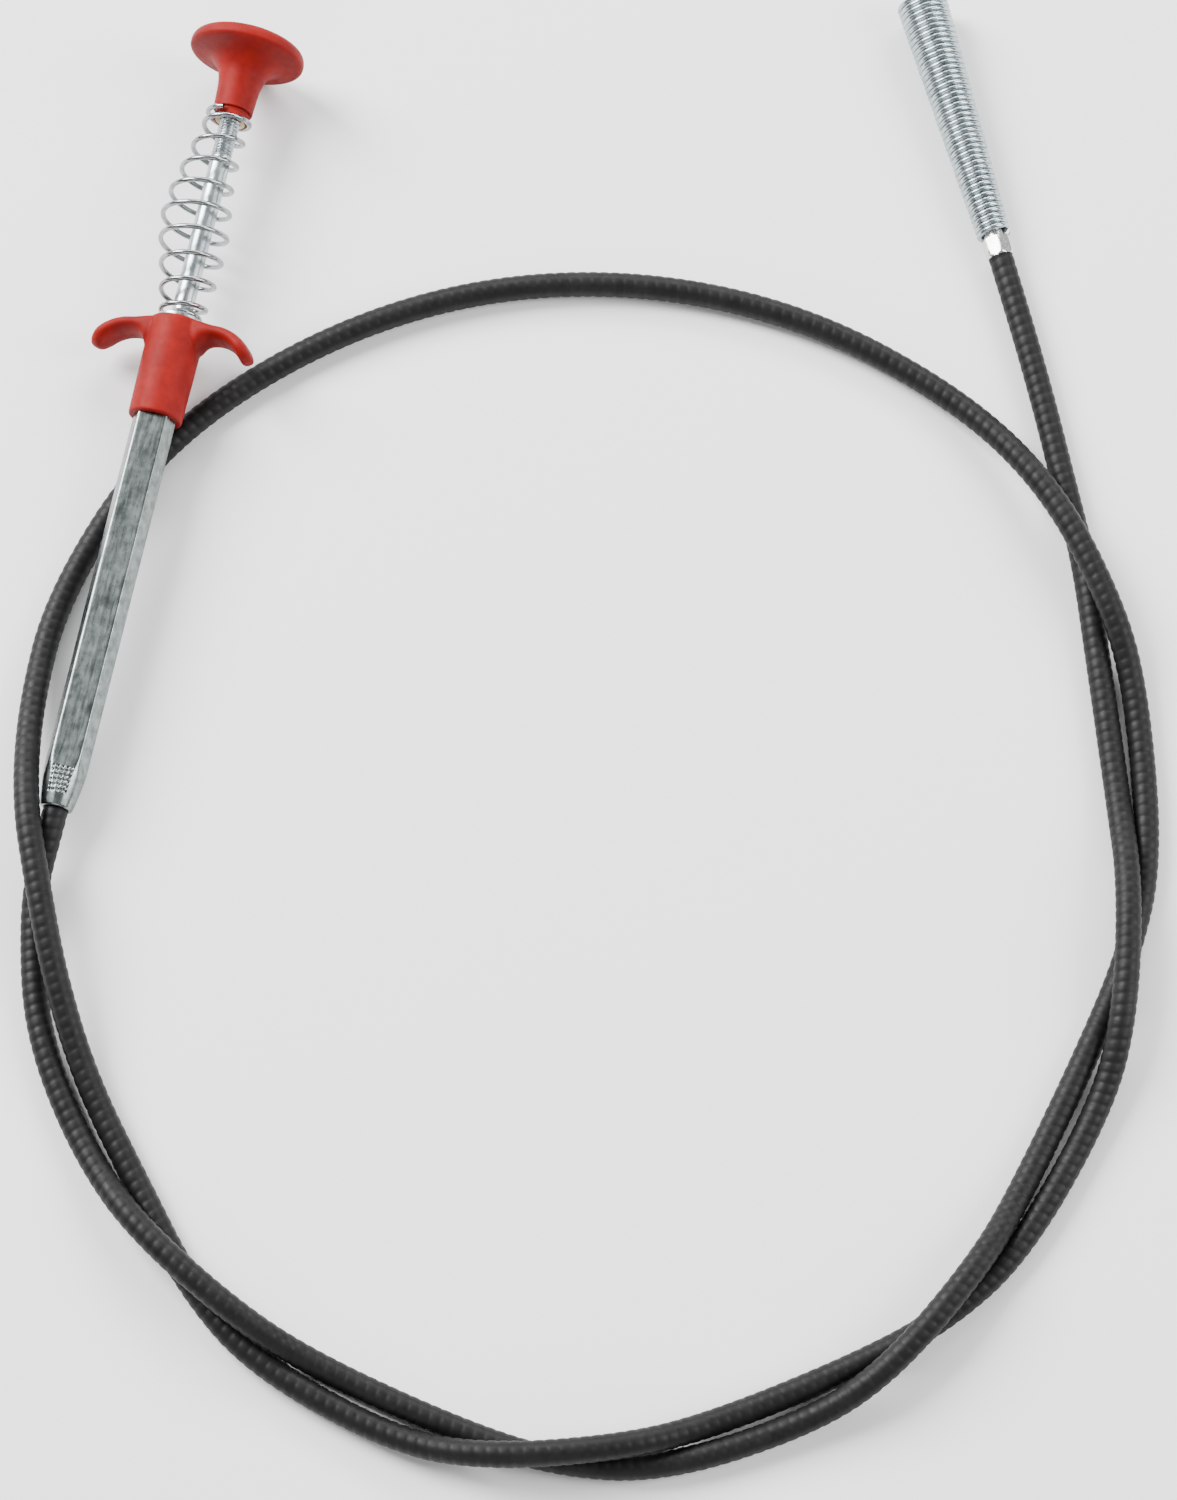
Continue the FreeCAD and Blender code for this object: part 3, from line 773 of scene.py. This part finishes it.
@dataclass(frozen=True)
class ClawHead:
    """The close-wound conical coil on the cable's end, and the ferrule that holds it.

    Attributes:
        coil_start: station where the coil begins.
        coil_end: station of the coil's mouth.
        small_radius: outer radius of the first turn.
        mouth_radius: outer radius of the last turn.
        wire_radius: radius of the coil's wire.
        turns: full turns of the coil.
        ferrule_flat: distance of each of the ferrule's six flats from the axis.
    """

    coil_start: float = 4.95
    coil_end: float = 70.0
    small_radius: float = 4.1
    mouth_radius: float = 6.3
    wire_radius: float = 0.7
    turns: int = 45
    ferrule_flat: float = 3.031

    def coil(self) -> Piece:
        """Makes the coil: a wire along x = r cos a, y = r sin a, its radius growing with a.

        Returns:
            The finished piece.
        """
        steps, unevenness, wander = 40, 0.05, 5.3
        pitch = (self.coil_end - self.coil_start - 2 * self.wire_radius) / self.turns
        share = np.linspace(0.0, 1.0, self.turns * steps + 1)
        angle = share * self.turns * FULL_TURN
        growth = self.mouth_radius - self.small_radius
        uneven = unevenness * np.sin(angle / wander) * np.sin(share * math.pi)
        radius = self.small_radius - self.wire_radius + growth * share + uneven
        station = self.coil_start + self.wire_radius + pitch * self.turns * share
        outward = np.stack([np.cos(angle), np.sin(angle), np.zeros_like(angle)], axis=-1)
        path = outward * radius[:, None] + np.stack([0 * angle, 0 * angle, station], axis=-1)
        rings = carried_rings(path, outward, circle(self.wire_radius, 10))
        piece = skin("claw_coil_spring", HEAD.place(rings), Ends.CAPPED, sharp=60.0)
        dress(piece, COIL_NICKEL.material())
        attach(piece, Body.HANDLE.value)
        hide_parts("claw_coil")
        return piece

    def ferrule(self) -> Piece:
        """Makes the ferrule: a chamfered hexagon, then a round spigot inside the coil.

        Returns:
            The finished piece.
        """
        angles = around(96)
        flats = tuple((direction, self.ferrule_flat) for direction in range(30, 360, 60))
        hexagon = faceted_radius(flats, angles, sharpness=34.0)
        # Each row is a radius, a station, and 1 where the flats cut that radius back.
        outline = np.array([
            (3.0, 0.0, 0), (3.06, 0.0, 0), (3.12, 0.08, 1), (3.3, 0.3, 1), (3.6, 0.55, 1),
            (3.6, 2.0, 1), (3.6, 3.4, 1), (3.6, 4.4, 1), (3.35, 4.68, 1), (3.1, 4.85, 1),
            (2.6, 4.88, 0), (2.6, 5.0, 0), (2.6, 9.6, 0), (2.4, 9.95, 0), (1.35, 9.95, 0),
            (1.3, 9.8, 0), (1.3, 4.1, 0), (1.4, 4.0, 0), (2.95, 4.0, 0), (3.0, 3.9, 0),
        ])
        limit = np.repeat(outline[:, :1], angles.size, axis=1)
        radii = np.where(outline[:, 2:] > 0, np.minimum(limit, hexagon), limit)
        rings = turned_rings(radii, outline[:, 1], angles)
        piece = skin("crimped_ferrule", HEAD.place(rings), Ends.LOOPED, sharp=30.0)
        dress(piece, FERRULE_NICKEL.material())
        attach(piece, Body.HANDLE.value)
        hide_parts("head_ferrule")
        return piece


# ---- handle ----


@dataclass(frozen=True)
class GuideTube:
    """The six-sided tube, a broad flat up, swaged onto the cable at its lower end.

    Attributes:
        faces: direction and distance from the axis of each flat.
        bore: radius of the bore.
        length: from the cable end to the end inside the grip.
        swage_end: radius at the swaged end.
        swage_length: how far the swage runs up the tube.
        socket: radius of the bore where the cable sits.
    """

    faces: tuple[tuple[float, float], ...] = (
        (22, 4.82), (90, 4.35), (158, 4.82), (202, 4.82), (270, 4.35), (338, 4.82),
    )
    bore: float = 3.3
    length: float = 116.0
    swage_end: float = 3.75
    swage_length: float = 10.6
    socket: float = 3.03

    def radii(self, stations: np.ndarray, angles: np.ndarray) -> np.ndarray:
        """Outer radius: the soft lesser of the hexagon and the swage's cone, less the crimp marks.

        The marks are small pits pressed into the upper flat, where cos u cos v is above zero and u
        and v run along the two diagonals.

        Args:
            stations: one station per ring.
            angles: the angles round the axis.

        Returns:
            One radius per ring and angle.
        """
        merge, swage_rise = 50.0, 1.55
        mark_start, mark_end, mark_half_width = 3.2, 9.4, 2.4
        pit_rate, pit_depth = 2.7, 0.38
        hexagon = faceted_radius(self.faces, angles, sharpness=36.0)[None, :]
        rise = np.clip(stations / self.swage_length, 0.0, None)[:, None]
        cone = self.swage_end + swage_rise * np.minimum(rise, 1.6) ** 0.85
        outer = (hexagon**-merge + cone**-merge) ** (-1 / merge)
        across = hexagon * np.cos(angles)
        upper_flat = np.sin(angles) < -0.7
        inside = (stations > mark_start) & (stations < mark_end)
        level = stations[:, None]
        waves = np.cos((across + level) * pit_rate) * np.cos((across - level) * pit_rate)
        window = (upper_flat & (np.abs(across) < mark_half_width)) * inside[:, None]
        return outer - pit_depth * np.clip(waves, 0.0, 1.0) * window

    def make(self) -> Piece:
        """Makes the tube with its bore open at both ends.

        Returns:
            The finished piece.
        """
        angles = around(180)
        fine = np.arange(0.35, 12.0, 0.16)
        coarse = np.linspace(12.4, self.length - 0.2, 40)
        stations = np.concatenate([[0.0, 0.12], fine, coarse, [self.length]])
        outer = self.radii(stations, angles)
        outer[0] -= 0.25
        outer[1] -= 0.1
        step = self.swage_length
        inner_stations = np.array([self.length, 60.0, step, step - 0.1, 5.0, 0.0])
        inner_radii = np.array([self.bore] * 3 + [self.socket] * 3)
        inner = np.repeat(inner_radii[:, None], angles.size, axis=1)
        rings = turned_rings(
            np.concatenate([outer, inner]), np.concatenate([stations, inner_stations]), angles,
        )
        piece = skin("hex_guide_tube", HANDLE.place(rings), Ends.LOOPED, sharp=50.0)
        dress(piece, ZINC_TUBE.material())
        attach(piece, Body.HANDLE.value)
        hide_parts("guide_tube")
        return piece


@dataclass(frozen=True)
class FingerGrip:
    """The moulded grip: a sleeve over the tube's upper end with two drooping finger wings.

    Attributes:
        bottom: station of the sleeve's lower edge.
        top: station of its upper edge.
        low_radius: the sleeve's radius at its lower edge.
        top_radius: the sleeve's radius at its upper edge.
        wing_half_width: half a wing's width.
        round_end: length of the wing's round end along its bend.
        bend_x: distance of the wing's bend centre from the axis.
        bend_station: station of the wing's bend centre.
        bend_radius: radius of the wing's middle line round that centre.
        bend_turn: how far the wing turns down, in degrees.
        roll: how far the wings are turned about the axis, right one up, in degrees.
        voxel: size of the cells that melt sleeve and wings into one skin.
    """

    bottom: float = 97.7
    top: float = 122.7
    low_radius: float = 6.45
    top_radius: float = 6.8
    wing_half_width: float = 4.75
    round_end: float = 4.4
    bend_x: float = 10.2
    bend_station: float = 110.4
    bend_radius: float = 10.1
    bend_turn: float = 65.0
    roll: float = 12.0
    voxel: float = 0.24

    def sleeve(self) -> np.ndarray:
        """Turns the sleeve's outline, from its bore's foot up the outside and back down the bore.

        Returns:
            Rings by columns by 3, in millimetres on the handle's axis.
        """
        outline = rounded_outline([
            (4.7, self.bottom, 0.0), (self.low_radius, self.bottom, 0.6),
            (self.top_radius, self.top, 0.8), (4.6, self.top, 0.2), (4.6, self.bottom + 1.0, 0.2),
            (4.7, self.bottom, 0.0),
        ])[:-1]
        fine = divided(outline, 1.0)
        return turned_rings(fine[:, 0], fine[:, 1], around(72))

    def wing(self, side: float) -> np.ndarray:
        """Rings of one wing: a flattened oval carried out and down round the bend.

        The middle line runs straight out from the sleeve and then round a circle. The oval's lower
        half is deepened near the sleeve by a quarter-round web, and its half-width follows the
        round end in plan.

        Args:
            side: 1 for the right wing and -1 for the left.

        Returns:
            Rings by columns by 3, in millimetres on the handle's axis.
        """
        flat_count, bend_count = 14, 43
        root, web_end, web_radius, shoulder_lift = 4.9, 10.9, 4.2, 0.85
        thick_above, thick_below = 1.5, 1.75
        straight = np.linspace(root, self.bend_x, flat_count)
        turn = np.radians(np.linspace(0.0, self.bend_turn + 1.5, bend_count + 1)[1:])
        reach = np.concatenate([straight, self.bend_x + self.bend_radius * np.sin(turn)])
        drop = np.concatenate([np.ones(flat_count), np.cos(turn)]) * self.bend_radius
        lean = np.concatenate([np.zeros(flat_count), turn])
        run = np.concatenate([straight - self.bend_x, turn * self.bend_radius])
        past = np.clip((run - run[-1] + self.round_end) / self.round_end, 0.0, 0.985)
        plan = np.sqrt(1.0 - past**2)
        shoulder = np.clip((reach - 5.0) / 6.0, 0.0, 1.0)
        lift = shoulder_lift * (1.0 - shoulder * shoulder * (3.0 - 2.0 * shoulder))
        station = self.bend_station + drop + lift
        half_width = self.wing_half_width * plan
        under = np.clip(web_end - reach, 0.0, web_radius)
        web = web_radius - np.sqrt(np.clip(web_radius**2 - under**2, 0.0, None))
        above = thick_above * plan**0.3
        below = thick_below * plan**0.3 + np.minimum(web, 4.0)
        angles = around(40)
        wide = np.sign(np.cos(angles)) * np.abs(np.cos(angles)) ** 0.7
        tall = np.sign(np.sin(angles)) * np.abs(np.sin(angles)) ** 0.8
        depth = np.where(tall[None, :] > 0, above[:, None], below[:, None]) * tall
        x = reach[:, None] + depth * np.sin(lean)[:, None]
        z = station[:, None] + depth * np.cos(lean)[:, None]
        y = half_width[:, None] * wide
        roll = math.radians(-self.roll)
        return np.stack([
            side * (x * math.cos(roll) - side * y * math.sin(roll)),
            side * (x * math.sin(roll) + side * y * math.cos(roll)),
            z,
        ], axis=-1)

    def make(self) -> Piece:
        """Makes the grip, its sleeve and wings melted into one skin with soft inner corners.

        Returns:
            The finished piece.
        """
        parts = [
            skin("finger_grip_skin", HANDLE.place(self.sleeve()), Ends.LOOPED),
            skin("right_wing", HANDLE.place(self.wing(1.0)), Ends.CAPPED),
            skin("left_wing", HANDLE.place(self.wing(-1.0)), Ends.CAPPED),
        ]
        piece = parts[0]
        with bpy.context.temp_override(
            active_object=piece, object=piece, selected_objects=parts,
            selected_editable_objects=parts,
        ):
            bpy.ops.object.join()
        melt = piece.modifiers.new("melt", "REMESH")
        melt.mode = "VOXEL"
        melt.voxel_size = self.voxel * MM
        melt.use_smooth_shade = True
        soften = piece.modifiers.new("soften", "SMOOTH")
        soften.factor = 0.5
        soften.iterations = 6
        settled(piece)
        dress(piece, RED_PLASTIC.material())
        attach(piece, Body.HANDLE.value)
        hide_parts("finger_grip")
        return piece


@dataclass(frozen=True)
class ReturnSpring:
    """The barrel-shaped return spring between the grip's washer and the knob.

    Attributes:
        bottom: station of the washer's upper face.
        top: station of the knob's shoulder.
        wire_radius: radius of the wire.
        radii: the coil's radius at each whole turn from the bottom.
        leans: how far each whole turn sits to the left of the axis.
        end_angle: where round the axis the wire ends, in degrees.
        travel: how far the plunger is pushed. Not used.
    """

    bottom: float = 123.5
    top: float = 178.4
    wire_radius: float = 0.62
    radii: tuple[float, ...] = (4.3, 5.2, 6.2, 7.1, 8.0, 8.05, 7.05, 6.25, 5.55, 5.2, 5.2)
    leans: tuple[float, ...] = (0.0, 0.0, 0.3, 0.9, 1.6, 2.3, 2.5, 2.0, 1.4, 0.55, 0.5)
    end_angle: float = 258.0
    travel: float = 18.5

    def make(self) -> Piece:
        """Makes the spring: a wire round the axis, one turn closed at each end.

        Returns:
            The finished piece.
        """
        steps, blend, clearance, top_rise = 48, 25, 0.03, 1.75
        turns = len(self.radii) - 1
        turn = np.linspace(0.0, turns, turns * steps + 1)
        angle = turn * FULL_TURN + math.radians(self.end_angle)
        closed = 2 * self.wire_radius + clearance
        low = self.bottom + self.wire_radius + clearance
        high = self.top - self.wire_radius - clearance
        marks = np.array([0.0, 1.0, turns - 1.0, turns])
        levels = np.array([low, low + closed, high - top_rise * closed, high])
        station = blended(np.interp(turn, marks, levels), blend)
        whole = np.arange(turns + 1)
        radius = blended(np.interp(turn, whole, self.radii), blend)
        lean = np.interp(turn, whole, self.leans)
        outward = np.stack([np.cos(angle), np.sin(angle), np.zeros_like(angle)], axis=-1)
        path = outward * radius[:, None] + np.stack([-lean, 0 * lean, station], axis=-1)
        rings = carried_rings(path, outward, circle(self.wire_radius, 14))
        piece = skin("barrel_return_spring", HANDLE.place(rings), Ends.CAPPED, sharp=60.0)
        dress(piece, SPRING_NICKEL.material())
        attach(piece, Body.HANDLE.value)
        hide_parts("return_spring")
        HANDLE.spot(self.bottom)
        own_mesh(piece)
        return piece


# ---- plunger ----


@dataclass(frozen=True)
class Plunger:
    """The mushroom knob and the rod that it pushes.

    Attributes:
        rod_radius: radius of the plain rod.
        rod_bottom: station of the rod's lower end.
        rod_top: station of its upper end, inside the knob's insert.
        thread_bottom: station where the thread begins.
        thread_top: station where it ends.
        thread_pitch: pitch of the thread.
        thread_depth: depth of the thread.
    """

    rod_radius: float = 2.5
    rod_bottom: float = 99.5
    rod_top: float = 190.0
    thread_bottom: float = 165.8
    thread_top: float = 178.6
    thread_pitch: float = 0.8
    thread_depth: float = 0.42

    def knob(self) -> Piece:
        """Makes the knob: an outline turned round the axis, hollow below for the insert.

        Returns:
            The finished piece.
        """
        outline = rounded_outline([
            (0.02, 190.0, 0.0), (3.6, 190.0, 0.1), (3.6, 175.8, 0.1), (4.1, 175.8, 0.2),
            (4.1, 178.4, 0.15), (4.8, 178.4, 0.35),
            (5.1, 185.8, 2.4), (6.1, 189.2, 1.7), (8.5, 191.9, 1.7), (13.0, 192.7, 0.5),
            (13.95, 193.3, 0.55), (14.0, 194.9, 0.7), (13.4, 196.0, 0.6), (9.4, 197.85, 2.6),
            (0.02, 197.9, 0.0),
        ], steps=9)
        fine = divided(outline, 0.8)
        rings = turned_rings(fine[:, 0], fine[:, 1], around(120))
        piece = skin("mushroom_knob", HANDLE.place(rings), Ends.CAPPED, sharp=50.0)
        dress(piece, RED_PLASTIC.material())
        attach(piece, Body.PLUNGER.value)
        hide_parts("plunger_knob")
        return piece

    def rod(self) -> Piece:
        """Makes the rod: a plain bar whose upper end carries a screw thread.

        The thread's depth follows a wave of the station less the angle's share of one pitch, and
        fades in over one and a half pitches.

        Returns:
            The finished piece.
        """
        angles = around(48)
        plain = np.linspace(self.rod_bottom + 0.3, self.thread_bottom - 0.5, 50)
        threaded = np.arange(self.thread_bottom - 0.2, self.thread_top, 0.1)
        upper = np.array([179.0, self.rod_top - 0.3])
        stations = np.concatenate([[self.rod_bottom], plain, threaded, upper, [self.rod_top]])
        phase = (stations[:, None] / self.thread_pitch - angles / FULL_TURN) % 1.0
        fade = np.clip((stations - self.thread_bottom) / (1.5 * self.thread_pitch), 0.0, 1.0)
        fade[-len(upper) - 1:] = 0.0
        wave = (0.5 - 0.5 * np.cos(phase * FULL_TURN)) ** 0.8
        radii = self.rod_radius - self.thread_depth * wave * fade[:, None]
        radii[0] -= 0.25
        radii[-1] -= 0.25
        piece = skin(
            "threaded_rod", HANDLE.place(turned_rings(radii, stations, angles)), Ends.CAPPED,
        )
        dress(piece, BRIGHT_STEEL.material())
        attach(piece, Body.PLUNGER.value)
        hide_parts("plunger_rod")
        return piece


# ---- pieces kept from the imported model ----


def dress_kept_nodes() -> None:
    """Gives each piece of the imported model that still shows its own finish."""
    finishes = {
        DARK_PLASTIC: ("guide_bush",),
        BRIGHT_STEEL: ("spring_washer", "rod_stop"),
        BRASS: ("knob_insert", "claw_carrier"),
        ALUMINIUM: ("wire_crimp",),
        WIRE_STEEL: ("plunger_wire", "head_wire"),
        CLAW_STEEL: CLAWS,
    }
    for finish, names in finishes.items():
        material = finish.material()
        for name in names:
            dress(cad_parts[name], material)
            LOG.info("dressed %s in %s", name, finish.name)


# ---- camera, floor and light ----


@dataclass(frozen=True)
class Studio:
    """A pale floor, soft light and the camera.

    Attributes:
        eye: the camera's place.
        target: the point that it looks at.
        lens: focal length in millimetres.
        sensor: height of the camera's sensor in millimetres.
        roll: how far the camera leans over, in radians.
    """

    eye: Triple = (0.1838, -0.3814, 1.0)
    target: Triple = (0.1165, -0.0578, 0.003)
    lens: float = 72.36
    sensor: float = 24.0
    roll: float = 0.002

    def camera(self) -> None:
        """Places the camera and makes it the scene's."""
        lens = bpy.data.cameras.new("camera")
        lens.lens = self.lens
        lens.sensor_fit = "VERTICAL"
        lens.sensor_height = self.sensor
        lens.clip_start = 0.01
        holder = placed("camera", lens)
        holder.location = self.eye
        aim = (Vector(self.target) - Vector(self.eye)).to_track_quat("-Z", "Y")
        holder.rotation_euler = (aim @ Quaternion((0.0, 0.0, 1.0), self.roll)).to_euler()
        bpy.context.scene.camera = holder

    def floor(self) -> None:
        """Lays a plain pale floor just under the auger."""
        half, level = 6.0, -0.0002
        corners = [(x * half, y * half, level)
                   for x, y in ((-1, -1), (1, -1), (1, 1), (-1, 1))]
        mesh = bpy.data.meshes.new("floor")
        mesh.from_pydata(corners, [], [(0, 1, 2, 3)])
        sheet = placed("floor", mesh)
        material = bpy.data.materials.new("floor")
        material.use_nodes = True
        shader = material.node_tree.nodes["Principled BSDF"]
        shader.inputs["Base Color"].default_value = (0.93, 0.93, 0.93, 1.0)
        shader.inputs["Roughness"].default_value = 0.9
        shader.inputs["Specular IOR Level"].default_value = 0.1
        mesh.materials.append(material)

    def softbox(self, name: str, place: Triple, size: tuple[float, float], power: float) -> None:
        """Hangs one rectangular soft light, turned towards the auger.

        Args:
            name: the light's name.
            place: where it hangs.
            size: its width and height in metres.
            power: its power in watts.
        """
        light = bpy.data.lights.new(name, "AREA")
        light.shape = "RECTANGLE"
        light.size, light.size_y = size
        light.energy = power
        holder = placed(name, light)
        holder.location = place
        aim = Vector(self.target) - Vector(place)
        holder.rotation_euler = aim.to_track_quat("-Z", "Y").to_euler()

    def light(self) -> None:
        """Hangs the soft lights and sets the room's even glow."""
        self.softbox("key_left", (-1.4, 0.6, 1.4), (1.0, 1.4), 120.0)
        self.softbox("fill_right", (1.7, 0.2, 1.2), (0.8, 1.4), 40.0)
        self.softbox("back_strip", (0.2, 1.9, 1.3), (2.2, 0.7), 60.0)
        self.softbox("front_low", (0.2, -2.0, 1.2), (2.0, 0.8), 12.0)
        world = bpy.data.worlds.new("room")
        world.use_nodes = True
        glow = world.node_tree.nodes["Background"]
        glow.inputs["Color"].default_value = (1.0, 1.0, 1.0, 1.0)
        glow.inputs["Strength"].default_value = 0.35
        bpy.context.scene.world = world


def main() -> None:
    """Builds the studio, then the cable, the head, the handle and the plunger."""
    logging.basicConfig(level=logging.INFO, format="%(name)s: %(message)s")
    studio = Studio()
    studio.camera()
    cable, line = Cable().make()
    head = ClawHead()
    coil = head.coil()
    ferrule = head.ferrule()
    HANDLE.spot(0.0)
    plunger = Plunger()
    built = [
        cable, coil, ferrule, GuideTube().make(), FingerGrip().make(), ReturnSpring().make(),
        plunger.knob(), plunger.rod(),
    ]
    dress_kept_nodes()
    for piece in built:
        LOG.info("built %s with %d faces", piece.name, len(piece.data.polygons))
    studio.floor()
    studio.light()


if __name__ == "__main__":
    main()
